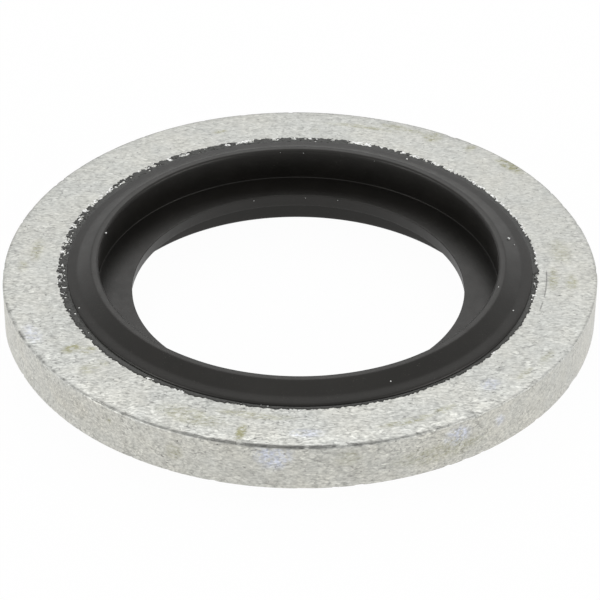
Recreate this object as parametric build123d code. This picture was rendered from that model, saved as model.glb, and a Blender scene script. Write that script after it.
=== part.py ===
from build123d import *
import os

# Bonded sealing washer: a punched steel ring with a rubber seal moulded onto its bore.
# Millimetres, +Z up along the ring's axis. The washer stands on its lower lip at z = 0,
# and the axis passes through the origin. Widths are radial and add up outwards.

# What the washer seals round
thread_diameter = 14.0
lip_clearance = 0.40        # from the thread to the upper lip's crest

# Steel ring
ring_width = 2.30
ring_thickness = 1.80
rollover_width = 0.80       # the punched top face starts to fall this far inside the outer edge
rollover_drop = 0.02        # how far it has fallen at the outer edge
outer_edge_break = 0.02
bore_edge_break = 0.08

# Rubber lips, one on each face of the ring
seal_width = 1.30           # from the upper crest's inner edge to the ring's bore
upper_lip_height = 0.45     # above the ring's top face
lower_lip_height = 1.05     # below the ring's bottom face
crest_width = 0.30
crest_inner_radius = 0.11
crest_outer_radius = 0.20
upper_wall_draft = 0.13     # the upper lip's inner wall is this much wider at the web than at its crest
lower_wall_draft = 0.03     # the same for the lower lip, which stands straighter
flank_break_inset = 0.45    # the outer flank gets flatter this far inside the ring's bore
flank_break_share = 0.30    # share of the lip's height that is left there
flank_break_radius = 0.40
foot_width = 0.08           # the flank ends this far inside the ring's bore
foot_rise = 0.05            # height of the flank's end above the ring's face
foot_radius = 0.06

# Centring web, between the two inner walls
web_reach = 1.20            # inwards from the upper lip's crest
web_drop = 0.90             # from the ring's top face down to the web's upper face
web_thickness = 0.50
web_upper_edge_radius = 0.06
web_lower_edge_radius = 0.04
web_corner_radius = 0.05

# Radii and heights that follow from the sizes above
crest_inside = thread_diameter / 2 + lip_clearance
web_inside = crest_inside - web_reach
wall_foot = crest_inside + upper_wall_draft
ring_inside = crest_inside + seal_width
ring_outside = ring_inside + ring_width
ring_bottom = lower_lip_height
ring_top = ring_bottom + ring_thickness
upper_crest = ring_top + upper_lip_height
lower_crest = ring_bottom - lower_lip_height
web_top = ring_top - web_drop
web_bottom = web_top - web_thickness


def corners_at(section, points):
    """The section's corners that lie at the given (radius, height) points."""
    found = []
    for point in points:
        found.append(section.vertices().sort_by_distance(point)[0])
    return found


def make_ring():
    """The steel ring, with its rolled-over top edge and broken corners."""
    rollover_start = (ring_outside - rollover_width, ring_top)
    rollover_end = (ring_outside - outer_edge_break, ring_top - rollover_drop)
    with BuildSketch(Plane.XZ) as section:
        with BuildLine():
            TangentArc(rollover_start, rollover_end, tangent=(1, 0))
            Polyline(
                rollover_end,
                (ring_outside, ring_top - rollover_drop - outer_edge_break),
                (ring_outside, ring_bottom + outer_edge_break),
                (ring_outside - outer_edge_break, ring_bottom),
                (ring_inside + bore_edge_break, ring_bottom),
                (ring_inside, ring_bottom + bore_edge_break),
                (ring_inside, ring_top - bore_edge_break),
                (ring_inside + bore_edge_break, ring_top),
                rollover_start,
            )
        make_face()
    return revolve(section.sketch, axis=Axis.Z)


def lip_corners(face, crest, wall_draft, web_face):
    """Corners of one lip, from its foot in the ring's bore over the crest to the web."""
    up = 1 if crest > face else -1
    rise = abs(crest - face)
    crest_inner = wall_foot - wall_draft
    return {
        "bonded_edge": (ring_inside, face - up * bore_edge_break),
        "foot": (ring_inside - foot_width, face + up * foot_rise),
        "flank_break": (ring_inside - flank_break_inset, face + up * rise * flank_break_share),
        "crest_outer": (crest_inner + crest_width, crest),
        "crest_inner": (crest_inner, crest),
        "web_corner": (wall_foot, web_face),
    }


def make_seal():
    """The rubber seal: two lips, the web between them and the face bonded to the ring's bore."""
    upper = lip_corners(ring_top, upper_crest, upper_wall_draft, web_top)
    lower = lip_corners(ring_bottom, lower_crest, lower_wall_draft, web_bottom)
    web_edge_radii = {
        (web_inside, web_top): web_upper_edge_radius,
        (web_inside, web_bottom): web_lower_edge_radius,
    }
    corner_radii = {
        "foot": foot_radius,
        "flank_break": flank_break_radius,
        "crest_outer": crest_outer_radius,
        "crest_inner": crest_inner_radius,
        "web_corner": web_corner_radius,
    }
    with BuildSketch(Plane.XZ) as section:
        with BuildLine():
            Polyline(*upper.values(), *web_edge_radii, *reversed(lower.values()), close=True)
        make_face()
        for corner, radius in corner_radii.items():
            fillet(corners_at(section, [upper[corner], lower[corner]]), radius)
        for edge, radius in web_edge_radii.items():
            fillet(corners_at(section, [edge]), radius)
    return revolve(section.sketch, axis=Axis.Z)


os.makedirs("parts", exist_ok=True)
export_step(make_ring(), "parts/steel_ring.step")
export_step(make_seal(), "parts/rubber_seal.step")
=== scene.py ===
import math
from collections import namedtuple

import bpy
import numpy as np
from mathutils import Euler, Matrix, Vector


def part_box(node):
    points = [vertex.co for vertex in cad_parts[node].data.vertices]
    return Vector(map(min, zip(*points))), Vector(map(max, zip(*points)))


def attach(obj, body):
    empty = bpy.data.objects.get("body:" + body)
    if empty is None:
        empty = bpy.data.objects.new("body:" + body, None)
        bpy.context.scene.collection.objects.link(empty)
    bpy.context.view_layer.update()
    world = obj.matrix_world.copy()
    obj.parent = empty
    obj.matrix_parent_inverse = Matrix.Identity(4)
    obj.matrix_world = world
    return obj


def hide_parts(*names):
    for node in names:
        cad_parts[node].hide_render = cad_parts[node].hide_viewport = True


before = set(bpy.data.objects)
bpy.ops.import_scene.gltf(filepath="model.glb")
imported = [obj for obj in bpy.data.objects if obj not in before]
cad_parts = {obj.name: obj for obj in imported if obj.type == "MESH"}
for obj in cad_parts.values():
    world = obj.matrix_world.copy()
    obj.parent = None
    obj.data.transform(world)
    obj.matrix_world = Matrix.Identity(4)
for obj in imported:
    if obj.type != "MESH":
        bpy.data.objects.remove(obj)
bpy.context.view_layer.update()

# Lengths are in millimetres until a mesh is made. Angles are in degrees and run anticlockwise
# seen from above: 0 is the side nearest the camera, 90 the right, 180 the back, 270 the left.
MM = 0.001
IMAGE_SIZE = 600

# Sizes of the washer, from the frame where its boxes give them. The seal ends at the ring's bore.
ring_low, ring_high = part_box("steel_ring")
seal_low, seal_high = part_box("rubber_seal")
RING_OUTSIDE = ring_high.x / MM
RING_INSIDE = seal_high.x / MM
RING_BOTTOM = ring_low.z / MM
RING_TOP = ring_high.z / MM
SEAL_TOP = seal_high.z / MM
SEAL_BOTTOM = seal_low.z / MM
ROLLOVER_WIDTH = 0.80
ROLLOVER_DROP = 0.02
OUTER_EDGE_BREAK = 0.02
BORE_EDGE_BREAK = 0.08
CREST_INSIDE = 7.40
CREST_WIDTH = 0.30
CREST_INNER_RADIUS = 0.11
CREST_OUTER_RADIUS = 0.20
UPPER_WALL_DRAFT = 0.13
LOWER_WALL_DRAFT = -0.02
FLANK_BREAK_INSET = 0.45
FLANK_BREAK_SHARE = 0.30
FLANK_BREAK_RADIUS = 0.40
FOOT_WIDTH = 0.08
FOOT_RISE = 0.05
FOOT_RADIUS = 0.06
WEB_INSIDE = 6.20
WEB_DROP = 0.90
WEB_THICKNESS = 0.50
WEB_BORE_DRAFT = 0.06
WEB_UPPER_EDGE_RADIUS = 0.025
WEB_LOWER_EDGE_RADIUS = 0.015
WEB_CORNER_RADIUS = 0.025

# The lips and the web lie a little off centre, towards one side. Their root in the bore doesn't.
SEAL_SLIDE = 0.074
SEAL_SLIDE_ANGLE = 312
SEAL_SLIDE_START = 8.6
SEAL_SLIDE_FULL = 7.8

# Where the ring's outline stands a little out of round, or falls short of it
Bulge = namedtuple("Bulge", "angle spread height")
OUTLINE_BULGES = [
    Bulge(86, 9, 0.045),
    Bulge(111, 6, -0.030),
    Bulge(134, 14, 0.055),
    Bulge(164, 8, -0.030),
    Bulge(204, 10, 0.025),
    Bulge(245, 20, -0.050),
    Bulge(282, 9, 0.050),
]

# Soft waves in every turned surface, and the chips in the ring's two outer edges
WAVE_HEIGHT = 0.003
CHIP_DEPTH = 0.030
TOP_CHIP_REACH = 0.14
BOTTOM_CHIP_REACH = 0.12

# The outer edge's fine groove, along its arris, and the scratch on the top face
EDGE_GROOVE_HEIGHT = RING_TOP - ROLLOVER_DROP - OUTER_EDGE_BREAK / 2
EDGE_GROOVE_WIDTH = 0.027
EDGE_GROOVE_DEPTH = 0.035
SCRATCH_RADIUS = 9.18
SCRATCH_WIDTH = 0.03
SCRATCH_DEPTH = 0.012

# Where the side face's marks end and where the top face's begin
SIDE_START = RING_OUTSIDE - 0.1
TOP_START = RING_TOP - 0.09

# Steps round the axis, and how far apart the points of the sections are
RING_STEPS = 900
SEAL_STEPS = 600
SCRATCH_SPACING = 0.02
EDGE_GROOVE_SPACING = 0.009
WORN_SPACING = 0.075
PLAIN_SPACING = 0.20
SEAL_SPACING = 0.10

# Marks on the steel. place is the radius on the top face, or the height above the ring's
# bottom on the side face. along and across are the mark's half sizes.
Mark = namedtuple("Mark", "kind angle place along across strength")
TOP_MARKS = [
    Mark("stain", 21.5, 10.20, 0.65, 0.10, 0.7),
    Mark("stain", 30, 10.15, 0.35, 0.10, 0.6),
    Mark("stain", 50, 10.40, 0.30, 0.08, 0.5),
    Mark("stain", 57, 10.50, 0.35, 0.12, 0.4),
    Mark("stain", 84, 10.10, 0.35, 0.15, 0.6),
    Mark("stain", 85, 9.42, 0.50, 0.12, 0.6),
    Mark("stain", 96, 9.80, 0.60, 0.25, 0.35),
    Mark("stain", 130.5, 10.80, 0.45, 0.18, 0.9),
    Mark("stain", 141, 10.70, 0.12, 0.20, 0.6),
    Mark("stain", 150, 10.55, 0.25, 0.25, 0.8),
    Mark("stain", 157, 10.55, 0.70, 0.12, 0.6),
    Mark("stain", 166, 10.17, 1.00, 0.08, 0.6),
    Mark("stain", 176.5, 9.52, 0.12, 0.14, 0.6),
    Mark("stain", 199, 9.95, 0.22, 0.07, 0.8),
    Mark("stain", 265, 9.90, 0.50, 0.15, 0.5),
    Mark("stain", 271, 10.30, 0.25, 0.12, 0.5),
    Mark("stain", 303.5, 9.70, 0.16, 0.26, 1.0),
    Mark("stain", 306, 9.28, 0.16, 0.20, 0.7),
    Mark("stain", 311.5, 9.90, 0.20, 0.25, 0.5),
    Mark("stain", 312, 9.30, 0.20, 0.10, 0.5),
    Mark("stain", 338, 10.00, 0.90, 0.28, 0.5),
    Mark("stain", 349, 10.35, 0.12, 0.28, 1.0),
    Mark("stain", 350, 9.35, 1.00, 0.12, 0.6),
    Mark("grime_and_groove_shade", 48, 9.60, 0.12, 0.12, 0.20),
    Mark("grime_and_groove_shade", 176.5, 10.75, 0.25, 0.03, 0.20),
    Mark("grime_and_groove_shade", 183.5, 9.93, 0.60, 0.04, 0.12),
    Mark("grime_and_groove_shade", 188, 10.32, 0.40, 0.03, 0.18),
    Mark("grime_and_groove_shade", 195, 10.15, 0.15, 0.10, 0.12),
    Mark("grime_and_groove_shade", 230, 10.80, 0.40, 0.06, 0.15),
    Mark("grime_and_groove_shade", 298, 10.00, 0.10, 0.08, 0.25),
    Mark("grime_and_groove_shade", 331, 10.80, 0.20, 0.05, 0.20),
    Mark("cool", 1.5, 10.20, 0.40, 0.15, 0.8),
    Mark("cool", 42.5, 9.95, 0.25, 0.20, 0.8),
    Mark("cool", 295, 10.60, 0.40, 0.20, 0.6),
]
SIDE_MARKS = [
    Mark("cool", -4.5, 1.40, 0.40, 0.35, 1.0),
    Mark("cool", 30, 1.20, 0.35, 0.25, 1.0),
    Mark("cool", 39.5, 1.10, 0.15, 0.15, 0.8),
    Mark("warm", -48, 1.00, 1.00, 0.40, 0.8),
    Mark("stain", -37, 1.20, 0.06, 0.06, 1.0),
    Mark("stain", -23, 0.90, 0.22, 0.22, 0.5),
    Mark("stain", 9, 1.25, 0.30, 0.20, 0.4),
    Mark("stain", 27, 0.75, 1.10, 0.25, 0.5),
]

# The thin film of rubber that crept onto the top face. Its outer edge is a little off centre.
FILM_INSIDE = 8.60
FILM_OUTSIDE = 9.16
FILM_EDGE = 8.93
FILM_EDGE_SHIFT = 0.10
FILM_EDGE_SHIFT_ANGLE = 230
FILM_BEND = 8.75
FILM_THICKNESS = 0.028
FILM_EDGE_THICKNESS = 0.006
FILM_TAPER = 0.05
FILM_CELL = 0.024
FLECK_INSIDE = 8.70
CRUMB_REACH = 0.11
PATCH_THICKNESS = 0.004
# The painted glint on the bare zinc reaches this far past the film's edge, as a thin light rim
GLINT_RIM_BEYOND_EDGE = 0.02
SHEET_SINK = 0.012

# Where the film has torn away. Most tears run out past its edge, and the others end at outer.
Tear = namedtuple("Tear", "start end inner outer", defaults=[9.2])
TEARS = [
    Tear(51.5, 53, 8.80),
    Tear(91, 94, 8.77),
    Tear(94, 103, 8.84),
    Tear(103, 108.5, 8.79),
    Tear(108.5, 112, 8.82),
    Tear(112, 116, 8.80),
    Tear(116, 121, 8.78),
    Tear(121, 130, 8.81),
    Tear(130, 136, 8.84),
    Tear(136, 141, 8.78),
    Tear(142, 144.5, 8.78),
    Tear(145.5, 147, 8.79),
    Tear(148, 151, 8.79),
    Tear(152.2, 153.2, 8.79),
    Tear(154.3, 155.2, 8.79),
    Tear(156.5, 157.4, 8.83),
    Tear(158.6, 159.4, 8.85),
    Tear(161.5, 168, 8.80),
    Tear(171.3, 172.2, 8.86),
    Tear(175.8, 176.6, 8.87, 9.0),
    Tear(177.2, 178.2, 8.84),
    Tear(178.7, 179.3, 8.86, 9.0),
    Tear(181.2, 182, 8.84),
    Tear(185.3, 187.4, 8.82),
    Tear(192, 196.8, 8.84),
    Tear(198, 199.6, 8.83, 8.95),
    Tear(204.3, 205.3, 8.90),
    Tear(209.7, 212.4, 8.83, 8.97),
    Tear(214.2, 215.8, 8.82),
    Tear(219.5, 221, 8.85),
    Tear(221.8, 223, 8.90),
    Tear(223.6, 225, 8.94),
    Tear(230.4, 234.5, 8.83, 8.93),
    Tear(234.5, 244, 8.86),
    Tear(246, 247, 8.85),
    Tear(249.5, 251, 8.83, 8.93),
    Tear(252.5, 254, 8.86),
    Tear(258.8, 262, 8.84, 8.98),
    Tear(264, 265.2, 8.84),
    Tear(302, 303.2, 8.86),
    Tear(322.5, 324.5, 8.83),
    Tear(328, 333.5, 8.86),
    Tear(345, 346.5, 8.87),
    Tear(352.5, 353.5, 8.84),
    Tear(357, 361.5, 8.88),
]

# Stretches where the film is riddled with small holes, and how badly
Flecked = namedtuple("Flecked", "start end strength")
FLECKED = [
    Flecked(75, 87, 1.0),
    Flecked(168, 232, 0.4),
    Flecked(244, 287, 0.85),
    Flecked(287, 301, 0.6),
    Flecked(345, 354, 0.5),
]

# Specks of dust on the rubber. height is above the ring's bottom, and size is a speck's radius.
Speck = namedtuple("Speck", "angle radius height size")
SPECK_ROWS = 5
SPECK_COLUMNS = 8
SPECKS = [
    Speck(290.3, 8.54, 1.87, 0.030),
    Speck(259.0, 7.42, 2.23, 0.035),
    Speck(299.1, 7.94, 2.11, 0.020),
    Speck(300.5, 7.91, 2.13, 0.030),
    Speck(308.1, 7.91, 2.13, 0.035),
    Speck(186.2, 7.36, 2.14, 0.013),
    Speck(179.1, 7.36, 2.10, 0.015),
    Speck(156.8, 7.35, 2.13, 0.010),
    Speck(150.1, 8.39, 1.90, 0.045),
    Speck(197.1, 6.17, 0.80, 0.020),
    Speck(178.1, 6.15, 0.78, 0.012),
    Speck(166.2, 6.14, 0.80, 0.015),
    Speck(23.2, 8.13, 2.00, 0.030),
    Speck(100.3, 7.98, 2.09, 0.050),
    Speck(98.0, 8.12, 2.01, 0.022),
    Speck(68.7, 8.33, 1.92, 0.028),
    Speck(74.6, 7.54, 2.25, 0.022),
]


def smooth(share):
    """A soft step from 0 to 1, as the share goes from 0 to 1."""
    share = np.clip(share, 0, 1)
    return share * share * (3 - 2 * share)


class RingNoise:
    """Smooth noise from -1 to 1 over (angle, share across), the same on each run."""

    def __init__(self, seed, around, across=1):
        self.grid = np.random.default_rng(seed).uniform(-1, 1, (around, across))

    def __call__(self, degrees, share=0.0):
        around, across = self.grid.shape
        degrees, share = np.broadcast_arrays(degrees, share)
        turn = degrees / 360 % 1 * around
        left = np.floor(turn).astype(int) % around
        right = (left + 1) % around
        to_right = smooth(turn - np.floor(turn))
        rise = np.clip(share, 0, 1) * max(across - 1, 0)
        low = np.clip(np.floor(rise).astype(int), 0, max(across - 2, 0))
        high = np.minimum(low + 1, across - 1)
        to_high = smooth(rise - low)
        near = self.grid[left, low] * (1 - to_right) + self.grid[right, low] * to_right
        far = self.grid[left, high] * (1 - to_right) + self.grid[right, high] * to_right
        return near * (1 - to_high) + far * to_high


def angle_between(degrees, centre):
    """Signed difference of two angles, from -180 to 180."""
    return (np.asarray(degrees) - centre + 180) % 360 - 180


def within(degrees, start, end, fade):
    """1 between two angles and 0 outside them, with soft ends."""
    reach = (end - start) / 2
    distance = np.abs(angle_between(degrees, (start + end) / 2))
    return smooth((reach - distance) / fade + 0.5)


def to_xyz(degrees, radius, height):
    """Points in metres from an angle, a radius and a height."""
    angle = np.radians(degrees)
    x, y, z = np.broadcast_arrays(radius * np.sin(angle), -radius * np.cos(angle), height)
    return np.stack([x, y, z], -1) * MM


# Sections of the ring and the seal


def rounded_outline(corners):
    """A closed outline from corners given as (radius, height, rounding)."""
    points = []
    for k, corner in enumerate(corners):
        here = np.array(corner[:2])
        rounding = corner[2]
        if rounding == 0:
            points.append(here)
            continue
        before = np.array(corners[k - 1][:2]) - here
        after = np.array(corners[(k + 1) % len(corners)][:2]) - here
        before /= np.linalg.norm(before)
        after /= np.linalg.norm(after)
        half = math.acos(np.clip(before @ after, -1, 1)) / 2
        inward = (before + after) / np.linalg.norm(before + after)
        centre = here + inward * rounding / math.sin(half)
        start = here + before * rounding / math.tan(half) - centre
        end = here + after * rounding / math.tan(half) - centre
        turn = math.pi - 2 * half
        sense = math.copysign(1, start[0] * end[1] - start[1] * end[0])
        steps = max(3, int(turn / math.radians(12)))
        for angle in np.linspace(0, turn, steps + 1) * sense:
            cosine = math.cos(angle)
            sine = math.sin(angle)
            spin = np.array([[cosine, -sine], [sine, cosine]])
            points.append(centre + spin @ start)
    return np.array(points)


def divided(outline, spacing):
    """The closed outline with more points, nowhere further apart than spacing(point)."""
    points = []
    for a, b in zip(outline, np.roll(outline, -1, 0)):
        position = 0.0
        length = np.linalg.norm(b - a)
        while position < length:
            point = a + (b - a) * position / length
            points.append(point)
            step = spacing(point)
            position += step
            if length - position < step / 2:
                break
    return np.array(points)


def outline_normals(outline):
    """Outward unit normals of an outline that runs anticlockwise in (radius, height)."""
    along = np.roll(outline, -1, 0) - np.roll(outline, 1, 0)
    normal = np.stack([along[:, 1], -along[:, 0]], -1)
    return normal / np.linalg.norm(normal, axis=1)[:, None]


def ring_corners():
    edge = RING_OUTSIDE - OUTER_EDGE_BREAK
    corners = [
        (RING_INSIDE + BORE_EDGE_BREAK, RING_BOTTOM, 0),
        (edge, RING_BOTTOM, 0.03),
        (RING_OUTSIDE, RING_BOTTOM + OUTER_EDGE_BREAK, 0.03),
        (RING_OUTSIDE, RING_TOP - ROLLOVER_DROP - OUTER_EDGE_BREAK, 0.02),
    ]
    for fall in (1, 0.8, 0.6, 0.4, 0.2, 0):
        radius = edge - (1 - fall) * (ROLLOVER_WIDTH - OUTER_EDGE_BREAK)
        corners.append((radius, RING_TOP - ROLLOVER_DROP * fall * fall, 0))
    corners += [
        (RING_INSIDE + BORE_EDGE_BREAK, RING_TOP, 0),
        (RING_INSIDE, RING_TOP - BORE_EDGE_BREAK, 0),
        (RING_INSIDE, RING_BOTTOM + BORE_EDGE_BREAK, 0),
    ]
    return corners


def lip_corners(face, crest, wall_draft, web_face):
    up = math.copysign(1, crest - face)
    rise = abs(crest - face)
    wall_foot = CREST_INSIDE + UPPER_WALL_DRAFT
    crest_inner = wall_foot - wall_draft
    return [
        (RING_INSIDE, face - up * BORE_EDGE_BREAK, 0),
        (RING_INSIDE - FOOT_WIDTH, face + up * FOOT_RISE, FOOT_RADIUS),
        (RING_INSIDE - FLANK_BREAK_INSET, face + up * rise * FLANK_BREAK_SHARE, FLANK_BREAK_RADIUS),
        (crest_inner + CREST_WIDTH, crest, CREST_OUTER_RADIUS),
        (crest_inner, crest, CREST_INNER_RADIUS),
        (wall_foot, web_face, WEB_CORNER_RADIUS),
    ]


def seal_corners():
    web_top = RING_TOP - WEB_DROP
    web_bottom = web_top - WEB_THICKNESS
    upper = lip_corners(RING_TOP, SEAL_TOP, UPPER_WALL_DRAFT, web_top)
    lower = lip_corners(RING_BOTTOM, SEAL_BOTTOM, LOWER_WALL_DRAFT, web_bottom)
    web = [
        (WEB_INSIDE, web_top, WEB_UPPER_EDGE_RADIUS),
        (WEB_INSIDE + WEB_BORE_DRAFT, web_bottom, WEB_LOWER_EDGE_RADIUS),
    ]
    return upper + web + lower[::-1]


# Meshes


def make_piece(name, points, faces, material):
    mesh = bpy.data.meshes.new(name)
    mesh.from_pydata(points.tolist(), [], faces)
    mesh.materials.append(material)
    mesh.polygons.foreach_set("use_smooth", [True] * len(mesh.polygons))
    mesh.update()
    piece = bpy.data.objects.new(name, mesh)
    bpy.context.scene.collection.objects.link(piece)
    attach(piece, "root")
    return piece


def turned_faces(around, count):
    """Quads of a closed outline of count points, turned in around steps."""
    i, j = np.meshgrid(np.arange(around), np.arange(count), indexing="ij")
    here = i * count
    beyond = (i + 1) % around * count
    following = (j + 1) % count
    faces = np.stack([here + j, beyond + j, beyond + following, here + following], -1)
    return faces.reshape(-1, 4).tolist()


def turned_piece(name, outline, around, shift, slide, material):
    """An outline turned round the axis, each point moved along its normal by shift(), out by slide()."""
    degrees = np.arange(around)[:, None] * 360 / around
    radius = outline[None, :, 0]
    height = outline[None, :, 1]
    normal = outline_normals(outline)
    move = shift(degrees, radius, height)
    out = radius + normal[:, 0] * move + slide(degrees, radius)
    points = to_xyz(degrees, out, height + normal[:, 1] * move)
    faces = turned_faces(around, len(outline))
    return make_piece(name, points.reshape(-1, 3), faces, material)


class SheetPoints:
    """The points of a thin sheet, in pairs: one on top, and the one below it comes next.

    top(degree, radius, depth) and bottom(degree, radius) give their heights.
    """

    def __init__(self, top, bottom):
        self.top = top
        self.bottom = bottom
        self.points = []
        self.numbers = {}

    def number(self, key, degree, radius, depth):
        """The number of the point on top that goes by this key."""
        if key not in self.numbers:
            self.numbers[key] = len(self.points)
            self.points.append(to_xyz(degree, radius, self.top(degree, radius, depth)))
            self.points.append(to_xyz(degree, radius, self.bottom(degree, radius)))
        return self.numbers[key]


def cells_with_sheet(field):
    """Marks the grid cells that have at least one corner where the field is positive."""
    on = field > 0
    on = on | np.roll(on, -1, 0)
    return on[:, :-1] | on[:, 1:]


def cell_outline(sheet, degrees, radii, field, i, j):
    """The sheet's outline inside one grid cell, and those of its points that lie on cell edges.

    Each of these comes with whether the outline leaves the sheet there.
    """
    around = len(degrees)
    step = degrees[1] - degrees[0]
    corners = [(i, j), (i, j + 1), (i + 1, j + 1), (i + 1, j)]
    values = [field[a % around, b] for a, b in corners]
    outline = []
    crossings = []
    for k in range(4):
        a, b = corners[k]
        c, d = corners[(k + 1) % 4]
        now = values[k]
        then = values[(k + 1) % 4]
        if now > 0:
            outline.append(sheet.number((a % around, b), degrees[0] + step * a, radii[b], now))
        if (now > 0) != (then > 0):
            share = min(max(now / (now - then), 0.02), 0.98)
            degree = degrees[0] + step * (a + (c - a) * share)
            radius = radii[b] + (radii[d] - radii[b]) * share
            key = tuple(sorted([(a % around, b), (c % around, d)]))
            crossings.append((sheet.number(key, degree, radius, 0.0), now > 0))
            outline.append(crossings[-1][0])
    return outline, crossings


def sheet_piece(name, degrees, radii, field, top, bottom, material):
    """A thin closed sheet wherever the field over a grid of angles and radii is positive.

    The heights follow from top() and bottom(), and the depth that top() gets is the field's value.
    """
    field = field.copy()
    field[:, 0] = -1e-4
    field[:, -1] = -1e-4
    sheet = SheetPoints(top, bottom)
    faces = []
    for i, j in np.argwhere(cells_with_sheet(field)):
        outline, crossings = cell_outline(sheet, degrees, radii, field, i, j)
        faces.append(outline)
        faces.append([number + 1 for number in reversed(outline)])
        for k, (number, leaving) in enumerate(crossings):
            if leaving:
                other = crossings[(k + 1) % len(crossings)][0]
                faces.append([number, number + 1, other + 1, other])
    return make_piece(name, np.array(sheet.points), faces, material)


def add_attribute(piece, name, values):
    attribute = piece.data.attributes.new(name, "FLOAT", "POINT")
    attribute.data.foreach_set("value", np.asarray(values, np.float32).ravel())


def piece_places(piece):
    """Angle, radius and height of each point of a piece."""
    points = np.empty(len(piece.data.vertices) * 3)
    piece.data.vertices.foreach_get("co", points)
    x, y, z = points.reshape(-1, 3).T / MM
    return np.degrees(np.arctan2(x, -y)), np.hypot(x, y), z


# Materials


class Look:
    """A node material, with short calls for the nodes that it needs."""

    def __init__(self, name):
        self.material = bpy.data.materials.new(name)
        self.material.use_nodes = True
        self.tree = self.material.node_tree
        self.tree.nodes.clear()
        self.output = self.add("ShaderNodeOutputMaterial")
        self.place = self.add("ShaderNodeTexCoord").outputs["Object"]

    def add(self, kind, **settings):
        node = self.tree.nodes.new(kind)
        for key, value in settings.items():
            setattr(node, key, value)
        return node

    def feed(self, source, target):
        if isinstance(source, bpy.types.NodeSocket):
            self.tree.links.new(source, target)
        else:
            target.default_value = source

    def stretched(self, factors):
        """The object's coordinates, squeezed so that what is drawn with them is stretched."""
        node = self.add("ShaderNodeVectorMath", operation="MULTIPLY")
        self.feed(self.place, node.inputs[0])
        node.inputs[1].default_value = factors
        return node.outputs["Vector"]

    def noise(self, size, detail=2.0, roughness=0.5, shift=0.0, place=None):
        """Noise with features of about this size, from 0 to 1."""
        node = self.add("ShaderNodeTexNoise", noise_dimensions="4D")
        node.inputs["Scale"].default_value = 1 / (size * MM)
        node.inputs["Detail"].default_value = detail
        node.inputs["Roughness"].default_value = roughness
        node.inputs["W"].default_value = shift
        self.feed(place or self.place, node.inputs["Vector"])
        return node.outputs["Fac"]

    def spread(self, value, low, high, to_low=0.0, to_high=1.0):
        node = self.add("ShaderNodeMapRange", clamp=True)
        self.feed(value, node.inputs["Value"])
        self.feed(low, node.inputs["From Min"])
        self.feed(high, node.inputs["From Max"])
        self.feed(to_low, node.inputs["To Min"])
        self.feed(to_high, node.inputs["To Max"])
        return node.outputs["Result"]

    def math(self, operation, a, b=0.0):
        node = self.add("ShaderNodeMath", operation=operation)
        self.feed(a, node.inputs[0])
        self.feed(b, node.inputs[1])
        return node.outputs[0]

    def blend(self, share, a, b):
        node = self.add("ShaderNodeMix", data_type="RGBA")
        self.feed(share, node.inputs[0])
        self.feed(a, node.inputs[6])
        self.feed(b, node.inputs[7])
        return node.outputs[2]

    def times(self, colour, factor):
        """A colour made lighter or darker by a number."""
        node = self.add("ShaderNodeVectorMath", operation="SCALE")
        self.feed(colour, node.inputs[0])
        self.feed(factor, node.inputs["Scale"])
        return node.outputs["Vector"]

    def attribute(self, name):
        return self.add("ShaderNodeAttribute", attribute_name=name).outputs["Fac"]

    def bump(self, height, depth, normal=None):
        node = self.add("ShaderNodeBump")
        node.inputs["Distance"].default_value = depth * MM
        self.feed(height, node.inputs["Height"])
        if normal:
            self.feed(normal, node.inputs["Normal"])
        return node.outputs["Normal"]

    def surface(self, **inputs):
        shader = self.add("ShaderNodeBsdfPrincipled")
        for key, value in inputs.items():
            self.feed(value, shader.inputs[key.replace("_", " ")])
        self.feed(shader.outputs[0], self.output.inputs[0])
        return self.material


ZINC = (0.466, 0.472, 0.448, 1)
WARM_ZINC = (0.473, 0.460, 0.408, 1)
COOL_ZINC = (0.490, 0.510, 0.575, 1)
# Bare zinc where the film tore, painted much lighter than the plating as a glint
CLEAN_GLINT_ZINC = (0.66, 0.67, 0.65, 1)
WHITE_GLINT_ZINC = (0.86, 0.86, 0.85, 1)
OLIVE_STAIN = (0.240, 0.235, 0.118, 1)
STAIN_SPOT = (0.07, 0.065, 0.04, 1)
# Real grime, and also painted shade in the outer edge's groove and in the scratch
GRIME_AND_GROOVE_SHADE = (0.03, 0.03, 0.027, 1)
RUBBER = (0.0050, 0.0045, 0.0036, 1)
DUSTY_RUBBER = (0.0090, 0.0082, 0.0068, 1)
RUBBER_FLECK = (0.050, 0.048, 0.042, 1)
RUBBER_GLOSS_TINT = (1.0, 0.985, 0.955, 1)
FILM_RUBBER = (0.010, 0.010, 0.008, 1)
DUSTY_FILM = (0.045, 0.046, 0.040, 1)


def painted_crease_light(look, rolled):
    """Painted shade in dark grooves and painted highlights on bright brows beside them, with no relief
    under them, and fine bright strokes.
    """
    drawn = look.stretched((0.16, 1.0, 1.0))
    ridge = look.math("SUBTRACT", look.noise(0.17, 1.5, 0.5, 9.0, rolled), 0.5)
    groove_shade = look.spread(look.math("ABSOLUTE", ridge), 0.0, 0.05, 1.0, 0.0)
    brow_highlight = look.spread(look.math("ABSOLUTE", look.math("SUBTRACT", ridge, 0.08)), 0.0, 0.05, 1.0, 0.0)
    stroke = look.spread(look.noise(0.07, 1.5, 0.5, 14.0, drawn), 0.58, 0.68)
    crease_light = look.math("SUBTRACT", look.math("MULTIPLY", brow_highlight, 0.18), look.math("MULTIPLY", groove_shade, 0.34))
    return look.math("ADD", crease_light, look.math("MULTIPLY", stroke, 0.24))


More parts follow.
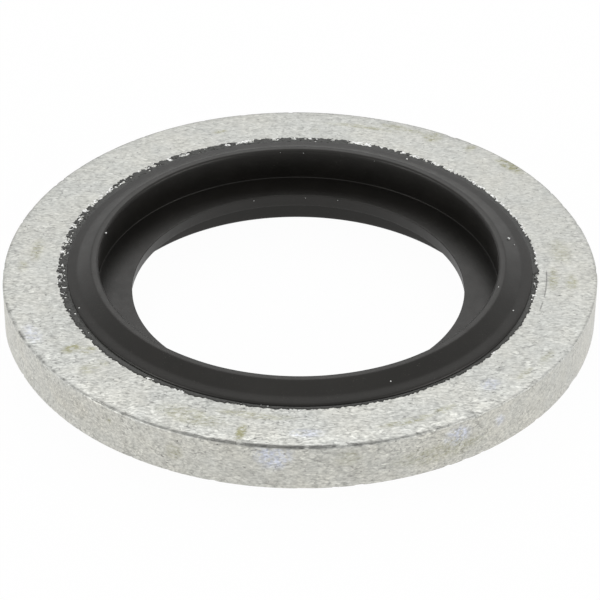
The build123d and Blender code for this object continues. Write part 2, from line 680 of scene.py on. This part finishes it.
def steel_texture(look, rolled, cloud):
    """How much lighter or darker than its colour the plating is at each place: real grain and pits, with
    painted crease shade and highlights and a painted sheen.
    """
    grain = look.spread(look.noise(0.11, 2.0, 0.6, 0.0, rolled), 0.34, 0.66, -1.0, 1.0)
    fine = look.spread(look.noise(0.055, 1.0, 0.5, 3.0, rolled), 0.30, 0.70, -1.0, 1.0)
    patch = look.spread(look.noise(0.26, 3.0, 0.6, 11.0), 0.34, 0.66, -1.0, 1.0)
    crease_light_share = look.spread(look.noise(0.60, 3.0, 0.6, 2.0), 0.38, 0.60)
    texture = look.math("ADD", look.math("MULTIPLY", grain, 0.14), look.math("MULTIPLY", fine, 0.20))
    texture = look.math("ADD", texture, look.math("MULTIPLY", patch, 0.07))
    # Painted shade and highlights of creases, in patches
    texture = look.math("ADD", texture, look.math("MULTIPLY", painted_crease_light(look, rolled), crease_light_share))
    texture = look.math("MULTIPLY", texture, look.attribute("wear"))
    texture = look.math("ADD", texture, look.math("MULTIPLY", cloud, 0.03))
    # Painted sheen: lighter colour where the rolled-over front edge and the side face catch more light
    texture = look.math("ADD", texture, look.math("MULTIPLY", look.attribute("painted_sheen"), 0.08))
    pit = look.spread(look.noise(0.10, 1.0, 0.5, 7.0), 0.28, 0.32, 1.0, 0.0)
    return look.math("SUBTRACT", texture, look.math("MULTIPLY", pit, 0.38))


def steel_colour(look, rolled, cloud, texture):
    """Zinc that is warmer and cooler in places, with its texture (real grain and pits, painted crease shade
    and highlights, and a painted sheen), stains, grime, and painted shade in the outer edge's groove and in
    the scratch.
    """
    warm = look.math("ADD", look.attribute("warm"), look.math("MULTIPLY", cloud, 0.2))
    colour = look.blend(warm, ZINC, WARM_ZINC)
    cool_noise = look.spread(look.noise(0.16, 2.0, 0.6, 12.0), 0.38, 0.60)
    cool = look.math("MULTIPLY", look.attribute("cool"), cool_noise)
    colour = look.blend(cool, colour, COOL_ZINC)
    colour = look.times(colour, look.math("ADD", texture, 1.0))
    stain_noise = look.spread(look.noise(0.10, 3.0, 0.7, 4.0, rolled), 0.40, 0.60)
    stain = look.math("MULTIPLY", look.attribute("stain"), stain_noise)
    colour = look.blend(stain, colour, OLIVE_STAIN)
    spot = look.spread(look.noise(0.08, 1.0, 0.5, 10.0), 0.36, 0.31)
    colour = look.blend(look.math("MULTIPLY", stain, spot), colour, STAIN_SPOT)
    # Grime, and painted shade in the edge groove and the scratch, darken the colour here
    return look.blend(look.attribute("grime_and_groove_shade"), colour, GRIME_AND_GROOVE_SHADE)


def plated_steel():
    """Dull zinc plating: grainy, with creases drawn as painted shade and highlights, olive stains and a few
    cool patches.

    The creases run along X, the way that the strip was rolled before the ring was punched.
    """
    look = Look("plated_steel_look")
    rolled = look.stretched((0.45, 1.0, 1.0))
    cloud = look.spread(look.noise(1.4, 3.0, 0.6, 5.0), 0.35, 0.65, -1.0, 1.0)
    texture = steel_texture(look, rolled, cloud)
    colour = steel_colour(look, rolled, cloud, texture)
    normal = look.bump(look.noise(0.40, 2.0, 0.5, 1.0), 0.010)
    normal = look.bump(look.noise(0.09, 3.0, 0.65, 6.0), 0.005, normal)
    rough = look.spread(look.noise(0.30, 3.0, 0.6, 8.0), 0.3, 0.7, 0.36, 0.50)
    return look.surface(Base_Color=colour, Metallic=0.5, Roughness=rough, Normal=normal)


def black_rubber():
    """Smooth satin rubber, slightly dusty in places."""
    look = Look("black_rubber_look")
    dust = look.spread(look.noise(0.9, 4.0, 0.65), 0.45, 0.80)
    colour = look.blend(dust, RUBBER, DUSTY_RUBBER)
    fleck = look.spread(look.noise(0.045, 1.0, 0.5, 5.0), 0.66, 0.76)
    fleck = look.math("MULTIPLY", fleck, look.spread(look.noise(0.7, 2.0, 0.5, 3.0), 0.40, 0.65))
    colour = look.blend(fleck, colour, RUBBER_FLECK)
    rough = look.spread(look.noise(0.5, 4.0, 0.6, 2.0), 0.3, 0.7, 0.37, 0.44)
    normal = look.bump(look.noise(0.07, 3.0, 0.6, 1.0), 0.0040)
    return look.surface(
        Base_Color=colour, Roughness=rough, Specular_IOR_Level=0.38,
        Specular_Tint=RUBBER_GLOSS_TINT, Normal=normal,
    )


def film_rubber():
    """The torn film, duller and dustier than the lips."""
    look = Look("film_rubber_look")
    dust = look.spread(look.noise(0.08, 3.0, 0.6), 0.4, 0.7)
    colour = look.blend(dust, FILM_RUBBER, DUSTY_FILM)
    normal = look.bump(look.noise(0.06, 2.0, 0.6, 1.0), 0.006)
    return look.surface(Base_Color=colour, Roughness=0.5, Normal=normal)


def bright_zinc():
    """Zinc that the film kept clean until it tore away: bare zinc painted nearly white with a painted
    glint. Dust looks the same.
    """
    look = Look("bright_zinc_look")
    grain = look.spread(look.noise(0.06, 2.0, 0.6), 0.35, 0.65)
    colour = look.blend(grain, CLEAN_GLINT_ZINC, WHITE_GLINT_ZINC)
    return look.surface(Base_Color=colour, Metallic=0.4, Roughness=0.45)


# The steel ring


def mark_weight(marks, kind, degrees, place, radius):
    """How strongly the marks of one kind cover each point, from 0 to 1.

    A mark is at its full strength out to 0.8 of its half sizes and gone at about twice them.
    """
    weight = np.zeros(len(degrees))
    for mark in marks:
        if mark.kind == kind:
            along = np.radians(angle_between(degrees, mark.angle)) * radius / mark.along
            across = (place - mark.place) / mark.across
            weight = np.maximum(weight, mark.strength * smooth(1.6 - 0.75 * np.hypot(along, across)))
    return weight


def edge_groove_depth(degrees, height):
    """The fine dark groove along the front of the outer edge, 0 to 1, broken here and there."""
    broken = smooth(RingNoise(31, 260)(degrees) * 0.9 + 1.1)
    front = within(degrees, -44, 27, 10) * (0.55 + 0.45 * within(degrees, -24, 13, 10))
    dotted = smooth(RingNoise(33, 420)(degrees) * 1.4 + 0.4)
    front = np.maximum(front, 0.6 * within(degrees, -76, -40, 6) * dotted)
    width = EDGE_GROOVE_WIDTH * (1 + 0.5 * within(degrees, -14, 7, 7))
    across = smooth(1 - np.abs(height - EDGE_GROOVE_HEIGHT) / width)
    return front * broken * across


def scratch_depth(degrees, radius):
    """The scratch that runs round the right side of the top face, 0 to 1."""
    broken = smooth(RingNoise(32, 150)(degrees) * 1.5 + 1.0)
    path = SCRATCH_RADIUS + 0.01 - 0.0012 * angle_between(degrees, 72)
    across = smooth(1 - np.abs(radius - path) / SCRATCH_WIDTH)
    return within(degrees, 72, 88, 1.0) * broken * across


def ring_shift(degrees, radius, height):
    """How far each point moves along its normal: soft waves, chips, the groove and the scratch."""
    waves = RingNoise(12, 48, 5)
    top_chips = smooth(RingNoise(11, 330)(degrees) * 2.2 - 1.1)
    bottom_chips = smooth(RingNoise(13, 280)(degrees) * 2.2 - 1.2)
    on_side = radius > RING_OUTSIDE - OUTER_EDGE_BREAK - 0.001
    on_top = height > RING_TOP - 0.001
    across = (height - RING_BOTTOM) / (RING_TOP - RING_BOTTOM)
    move = WAVE_HEIGHT * waves(degrees, across)
    top_edge = np.hypot(radius - RING_OUTSIDE, height - RING_TOP + ROLLOVER_DROP)
    bottom_edge = np.hypot(radius - RING_OUTSIDE, height - RING_BOTTOM)
    move = move - CHIP_DEPTH * smooth(1 - top_edge / TOP_CHIP_REACH) * top_chips
    move = move - CHIP_DEPTH * smooth(1 - bottom_edge / BOTTOM_CHIP_REACH) * bottom_chips
    move = move - EDGE_GROOVE_DEPTH * on_side * edge_groove_depth(degrees, height)
    return move - SCRATCH_DEPTH * on_top * scratch_depth(degrees, radius)


def ring_slide(degrees, radius):
    """How far the ring's outline stands out of round, fading out towards the bore."""
    out = 0.0
    for bulge in OUTLINE_BULGES:
        out = out + bulge.height * np.exp(-((angle_between(degrees, bulge.angle) / bulge.spread) ** 2))
    return out * smooth((radius - RING_INSIDE) / (RING_OUTSIDE - RING_INSIDE))


def ring_spacing(point):
    """Points lie closest where the scratch and the groove are, then on the faces that show wear."""
    radius, height = point
    if abs(radius - SCRATCH_RADIUS) < 0.05 and height > RING_TOP - 0.1:
        return SCRATCH_SPACING
    if radius > RING_OUTSIDE - 0.01 and abs(height - EDGE_GROOVE_HEIGHT) < 0.05:
        return EDGE_GROOVE_SPACING
    if height > RING_TOP - 0.2 or radius > SIDE_START:
        return WORN_SPACING
    return PLAIN_SPACING


def add_marks(ring, degrees, radius, height):
    """Stains, cool and warm patches, and grime together with painted shade in the outer edge's groove and
    the scratch, as one attribute each.
    """
    top = height > TOP_START
    for kind in ("stain", "cool", "warm", "grime_and_groove_shade"):
        on_top = mark_weight(TOP_MARKS, kind, degrees, radius, RING_OUTSIDE)
        on_side = mark_weight(SIDE_MARKS, kind, degrees, height - RING_BOTTOM, RING_OUTSIDE)
        weight = np.where(top, on_top, on_side * (radius > SIDE_START))
        if kind == "warm":
            weight = np.maximum(weight, np.where(top, 0.15, 0.5))
        if kind == "grime_and_groove_shade":
            # Painted shade: the groove along the front of the outer edge and the scratch are darkened in
            # colour, the way shade falls in them
            groove_shade = edge_groove_depth(degrees, height) * (radius > RING_OUTSIDE - 0.12)
            scratch_shade = 0.6 * scratch_depth(degrees, radius) * top
            weight = np.maximum(weight, np.maximum(groove_shade, scratch_shade))
        add_attribute(ring, kind, weight)


def add_wear(ring, degrees, radius, height):
    """How rough the plating looks, most at the front, and where a painted sheen lightens it: the front of
    the top face's outer band and the whole side face.
    """
    top = height > TOP_START
    side = (radius > SIDE_START) * (1 - top)
    front = 0.5 + 0.5 * np.cos(np.radians(degrees))
    outer = smooth((radius - 10.0) / 0.6) * top
    smoother = 1 - 0.2 * within(degrees, 45, 150, 40)
    add_attribute(ring, "wear", (0.75 + 0.30 * front + 0.30 * front * outer) * smoother)
    # Painted sheen on the front of the outer band and on the side face, for the light that they catch
    add_attribute(ring, "painted_sheen", outer * within(degrees, -75, 75, 50) + 1.2 * side)


def make_steel_ring():
    outline = divided(rounded_outline(ring_corners()), ring_spacing)
    ring = turned_piece(
        "plated_ring", outline, RING_STEPS, ring_shift, ring_slide, plated_steel()
    )
    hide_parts("steel_ring")
    degrees, radius, height = piece_places(ring)
    add_marks(ring, degrees, radius, height)
    add_wear(ring, degrees, radius, height)


# The rubber seal, its film on the steel, and dust


def seal_shift(degrees, radius, height):
    """Soft waves in the rubber, none where it meets the ring's bore or stands on its lower crest."""
    waves = RingNoise(21, 60, 4)
    share = (height - SEAL_BOTTOM) / (SEAL_TOP - SEAL_BOTTOM)
    free = (radius < RING_INSIDE - 0.01) * smooth((height - SEAL_BOTTOM) / 0.1)
    return WAVE_HEIGHT * waves(degrees, share) * free


def seal_slide(degrees, radius):
    """How far the lips and the web lie off centre, fading out towards the ring's bore."""
    share = smooth((SEAL_SLIDE_START - radius) / (SEAL_SLIDE_START - SEAL_SLIDE_FULL))
    return SEAL_SLIDE * np.cos(np.radians(degrees - SEAL_SLIDE_ANGLE)) * share


def make_rubber_seal():
    outline = divided(rounded_outline(seal_corners()), lambda point: SEAL_SPACING)
    seal = turned_piece(
        "moulded_seal", outline, SEAL_STEPS, seal_shift, seal_slide, black_rubber()
    )
    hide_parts("rubber_seal")


def film_reach(angle):
    """The radius of the film's outer edge, with small teeth along it."""
    teeth = 0.042 * RingNoise(41, 620)(angle) + 0.018 * RingNoise(42, 170)(angle)
    teeth = teeth + 0.022 * RingNoise(46, 1300)(angle)
    return FILM_EDGE + FILM_EDGE_SHIFT * np.cos(np.radians(angle - FILM_EDGE_SHIFT_ANGLE)) + teeth


def tear_depth(degrees, radius, roughness):
    """How deep inside a tear each point lies, in millimetres; below zero outside the tears."""
    depth = np.full(np.broadcast(degrees, radius).shape, -1.0)
    for tear in TEARS:
        middle = (tear.start + tear.end) / 2
        half = math.radians(tear.end - tear.start) / 2 * FILM_EDGE
        along = half - np.abs(np.radians(angle_between(degrees, middle))) * FILM_EDGE
        across = np.minimum(radius - tear.inner, tear.outer - radius)
        depth = np.maximum(depth, np.minimum(along, across))
    return depth + roughness


def fleck_depth(angle, radius, share):
    """How deep inside a small hole each point lies, in the stretches that are riddled with them."""
    spots = 0.6 * RingNoise(45, 560, 8)(angle, share) + 0.6 * RingNoise(50, 1000, 13)(angle, share)
    depth = np.full_like(spots, -1.0)
    for stretch in FLECKED:
        amount = within(angle, stretch.start, stretch.end, 1.5)
        hole = 0.10 * (spots - 1.05 + 0.85 * stretch.strength)
        depth = np.maximum(depth, hole * amount - 0.05 * (1 - amount))
    return np.minimum(depth, 0.5 * (radius - FLECK_INSIDE))


def torn_depth(angle, radius, share):
    """How deep inside a tear or hole each point lies, with crumbs of film left near its edge."""
    ragged = 0.034 * RingNoise(43, 640, 8)(angle, share)
    ragged = ragged + 0.026 * RingNoise(44, 1250, 16)(angle, share)
    bent = angle + 0.40 * RingNoise(48, 260, 5)(angle, share)
    bent = bent + 0.22 * RingNoise(49, 600, 9)(angle, share)
    torn = np.maximum(tear_depth(bent, radius, ragged), fleck_depth(angle, radius, share))
    crumbs = 0.06 * (0.42 - RingNoise(52, 1150, 14)(angle, share))
    return np.where(torn < CRUMB_REACH, np.minimum(torn, crumbs), torn)


def film_dip(degree, radius):
    """How far the film dips into the bore's edge: most at the front, hardly at the back."""
    front = 0.5 + 0.5 * math.cos(math.radians(degree))
    return max(0.0, FILM_BEND - radius) * (0.05 + 0.95 * front ** 4)


def film_top(degree, radius, depth):
    grown = float(smooth(depth / FILM_TAPER))
    thickness = FILM_EDGE_THICKNESS + (FILM_THICKNESS - FILM_EDGE_THICKNESS) * grown
    return RING_TOP + thickness - film_dip(degree, radius)


def film_bottom(degree, radius):
    return RING_TOP - SHEET_SINK - film_dip(degree, radius)


def patch_top(degree, radius, depth):
    return RING_TOP + PATCH_THICKNESS


def patch_bottom(degree, radius):
    return RING_TOP - SHEET_SINK


def make_film():
    """The film on the ring's top face, and bare zinc with a painted glint where it has torn away, also as a
    thin light rim just past the film's edge.
    """
    around = round(2 * math.pi * FILM_EDGE / FILM_CELL)
    degrees = np.arange(around) * 360 / around
    radii = np.arange(FILM_INSIDE, FILM_OUTSIDE, FILM_CELL)
    angle = degrees[:, None]
    radius = radii[None, :]
    share = (radius - FILM_INSIDE) / (FILM_OUTSIDE - FILM_INSIDE)
    edge = film_reach(angle)
    torn = torn_depth(angle, radius, share)
    film = np.minimum(edge - radius, -torn)
    bare_glint_spots = 0.06 * RingNoise(47, 700, 8)(angle, share)
    # Bare zinc in the tears, and a thin rim past the film's edge, carry a painted glint
    patch = np.minimum(np.minimum(edge + GLINT_RIM_BEYOND_EDGE - radius, torn), bare_glint_spots)
    sheet_piece("rubber_film", degrees, radii, film, film_top, film_bottom, film_rubber())
    sheet_piece(
        "bare_zinc_glints", degrees, radii, patch, patch_top, patch_bottom, bright_zinc()
    )


def make_dust():
    """Small crumbs, each a ball with dented points, half sunk into what it lies on."""
    random = np.random.default_rng(51)
    points = []
    faces = []
    rows = SPECK_ROWS
    columns = SPECK_COLUMNS
    for speck in SPECKS:
        centre = to_xyz(speck.angle, speck.radius, RING_BOTTOM + speck.height)
        start = len(points)
        for i in range(1, rows):
            for j in range(columns):
                up = math.pi * i / rows
                turn = 2 * math.pi * j / columns
                way = np.array([math.sin(up) * math.cos(turn), math.sin(up) * math.sin(turn), math.cos(up)])
                points.append(centre + way * speck.size * MM * random.uniform(0.7, 1.2))
        for end, side in ((start, 1), (start + (rows - 2) * columns, -1)):
            points.append(centre + np.array([0, 0, side * speck.size * MM * 0.9]))
            tip = len(points) - 1
            for j in range(columns):
                pair = [end + j, end + (j + 1) % columns]
                faces.append([tip] + (pair if side > 0 else pair[::-1]))
        for i in range(rows - 2):
            for j in range(columns):
                a = start + i * columns
                k = (j + 1) % columns
                faces.append([a + j, a + columns + j, a + columns + k, a + k])
    make_piece("dust", np.array(points), faces, bright_zinc())


# Camera, light and floor. Here distances are in metres, except for the camera's.

CAMERA_ELEVATION = 35.17
CAMERA_DISTANCE = 9.474 * RING_OUTSIDE
CAMERA_ROLL = 0.37
FOCAL_PIXELS = 2770.9
CENTRE_PIXEL = (299.6, 304.5)
SENSOR_WIDTH = 36.0

FLOOR_HALF_SIZE = 1.5
FLOOR_WHITE_SHARE = 0.975
FLOOR_COLOUR = (0.9, 0.9, 0.9, 1)
WORLD_LIGHT = 0.85

# The lamps face the washer. Azimuth 0 is behind the camera and 180 opposite it. brightness is the
# radiance of a lamp's face.
Lamp = namedtuple("Lamp", "name azimuth elevation distance radius brightness")
LAMPS = [
    Lamp("back_lamp", 180, 46, 0.40, 0.12, 1.82),
    Lamp("top_lamp", 0, 78, 0.50, 0.20, 0.30),
    Lamp("back_right_lamp", 150, 14, 0.50, 0.08, 0.70),
    Lamp("back_left_lamp", 215, 14, 0.50, 0.08, 0.70),
    Lamp("left_fill", -65, 8, 0.50, 0.20, 3.20),
    Lamp("right_fill", 65, 8, 0.50, 0.20, 3.20),
]


def make_camera():
    data = bpy.data.cameras.new("camera")
    data.sensor_width = SENSOR_WIDTH
    data.lens = FOCAL_PIXELS / IMAGE_SIZE * SENSOR_WIDTH
    data.shift_x = (IMAGE_SIZE / 2 - CENTRE_PIXEL[0]) / IMAGE_SIZE
    data.shift_y = (CENTRE_PIXEL[1] - IMAGE_SIZE / 2) / IMAGE_SIZE
    data.clip_start = 0.005
    data.clip_end = 20
    camera = bpy.data.objects.new("camera", data)
    bpy.context.scene.collection.objects.link(camera)
    tilt = math.radians(CAMERA_ELEVATION)
    reach = CAMERA_DISTANCE * math.cos(tilt)
    rise = CAMERA_DISTANCE * math.sin(tilt)
    camera.location = (0, -reach * MM, (RING_BOTTOM + rise) * MM)
    look = Euler((math.pi / 2 - tilt, 0, 0)).to_matrix()
    roll = Matrix.Rotation(math.radians(CAMERA_ROLL), 3, "Z")
    camera.rotation_euler = (look @ roll).to_euler("XYZ")
    bpy.context.scene.camera = camera


def background_rays(tree):
    """1 for the rays that show the white background itself: camera, glossy and transmission."""
    path = tree.nodes.new("ShaderNodeLightPath")
    total = path.outputs["Is Camera Ray"]
    for name in ("Is Glossy Ray", "Is Transmission Ray"):
        node = tree.nodes.new("ShaderNodeMath")
        node.operation = "MAXIMUM"
        tree.links.new(total, node.inputs[0])
        tree.links.new(path.outputs[name], node.inputs[1])
        total = node.outputs[0]
    return total


def make_floor():
    """A pale floor that shows white and keeps the washer's shadow."""
    half = FLOOR_HALF_SIZE
    corners = [(-half, -half, 0), (half, -half, 0), (half, half, 0), (-half, half, 0)]
    mesh = bpy.data.meshes.new("floor")
    mesh.from_pydata(corners, [], [(0, 1, 2, 3)])
    look = Look("floor_look")
    matte = look.add("ShaderNodeBsdfDiffuse")
    matte.inputs["Color"].default_value = FLOOR_COLOUR
    white = look.add("ShaderNodeEmission")
    blend = look.add("ShaderNodeMixShader")
    look.feed(look.math("MULTIPLY", background_rays(look.tree), FLOOR_WHITE_SHARE), blend.inputs[0])
    look.feed(matte.outputs[0], blend.inputs[1])
    look.feed(white.outputs[0], blend.inputs[2])
    look.feed(blend.outputs[0], look.output.inputs[0])
    mesh.materials.append(look.material)
    floor = bpy.data.objects.new("floor", mesh)
    bpy.context.scene.collection.objects.link(floor)


def make_world():
    """Even light from all round, with a white background."""
    world = bpy.data.worlds.new("world")
    world.use_nodes = True
    tree = world.node_tree
    tree.nodes.clear()
    strength = tree.nodes.new("ShaderNodeMapRange")
    strength.inputs["To Min"].default_value = WORLD_LIGHT
    strength.inputs["To Max"].default_value = 1.0
    background = tree.nodes.new("ShaderNodeBackground")
    output = tree.nodes.new("ShaderNodeOutputWorld")
    tree.links.new(background_rays(tree), strength.inputs["Value"])
    tree.links.new(strength.outputs[0], background.inputs["Strength"])
    tree.links.new(background.outputs[0], output.inputs[0])
    bpy.context.scene.world = world


def make_lamp(lamp):
    """A round soft lamp that faces the washer."""
    data = bpy.data.lights.new(lamp.name, "AREA")
    data.shape = "DISK"
    data.size = 2 * lamp.radius
    data.energy = lamp.brightness * math.pi * math.pi * lamp.radius ** 2
    holder = bpy.data.objects.new(lamp.name, data)
    bpy.context.scene.collection.objects.link(holder)
    rise = math.radians(lamp.elevation)
    way = Vector(to_xyz(lamp.azimuth, math.cos(rise), math.sin(rise)) / MM)
    holder.location = way * lamp.distance
    holder.rotation_euler = way.to_track_quat("Z", "Y").to_euler()


bpy.context.scene.view_settings.view_transform = "Standard"
make_camera()
make_world()
make_floor()
for each_lamp in LAMPS:
    make_lamp(each_lamp)
make_steel_ring()
make_rubber_seal()
make_film()
make_dust()
